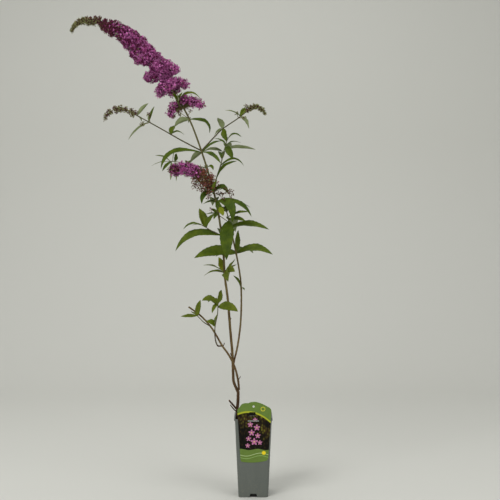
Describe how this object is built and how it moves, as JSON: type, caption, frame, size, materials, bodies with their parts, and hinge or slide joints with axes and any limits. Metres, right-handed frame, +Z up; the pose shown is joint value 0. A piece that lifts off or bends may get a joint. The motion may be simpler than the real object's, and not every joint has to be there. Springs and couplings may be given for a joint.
{
  "type": "potted butterfly bush",
  "caption": "Young butterfly bush in a deep square nursery pot: slim leaning stems, lance-shaped leaves, a long arching flower spike, bud spikes, and a plastic label at the pot's front.",
  "frame": {"origin": "centre of the pot's flat underside, at ground level", "axes": "+Z up, along the height; -Y towards the front, where the label is; +X to the right seen from the front"},
  "size_m": [0.4744, 0.166, 1.1161],
  "materials": {
    "pot": "grey scuffed plastic",
    "soil": "dark crumbly substrate",
    "label": "printed plastic sheet",
    "strap": "pale grey plastic",
    "bark": "rough brown bark",
    "shoot": "greenish brown young stem",
    "leaf": "matt green, with a pale felted underside",
    "blossom": "magenta-purple florets",
    "buds": "olive and maroon buds",
    "spent": "dry rust-brown flowers"
  },
  "bodies": {
    "root": {"pot": "pot", "soil": "soil", "label": "label", "label_strap": "strap", "trunk": "bark", "main_stem": "bark", "right_stem": "bark", "left_branch": "bark", "dead_stub": "bark", "thin_dead_stub": "bark", "upper_left_branch": "shoot", "upper_right_branch": "shoot", "main_spike": "blossom", "spike_tip": "buds", "mid_spike": "blossom", "spent_flowers": "spent", "left_bud_spike": "buds", "right_bud_spike": "buds", "upper_whorl": "blossom", "lower_whorl": "blossom", "spent_cyme": "spent", "lower_left_spray": "leaf", "lower_left_twig": "leaf", "lower_node_leaves": "leaf", "right_stem_leaf": "leaf", "right_node_leaves": "leaf", "crown_front_leaves": "leaf", "crown_upper_leaves": "leaf", "mid_left_spray": "leaf", "mid_small_leaves": "leaf", "under_spike_leaves": "leaf", "upper_curl_leaves": "leaf", "left_rear_spray": "leaf", "right_spray": "leaf", "fork_leaves": "leaf", "upper_right_leaves": "leaf", "upper_right_tip_leaves": "leaf", "upper_left_leaves": "leaf", "bud_branch_leaves": "leaf", "bud_leaf": "leaf", "top_node_leaves": "leaf", "bract_leaves": "leaf"}
  },
  "joints": []
}
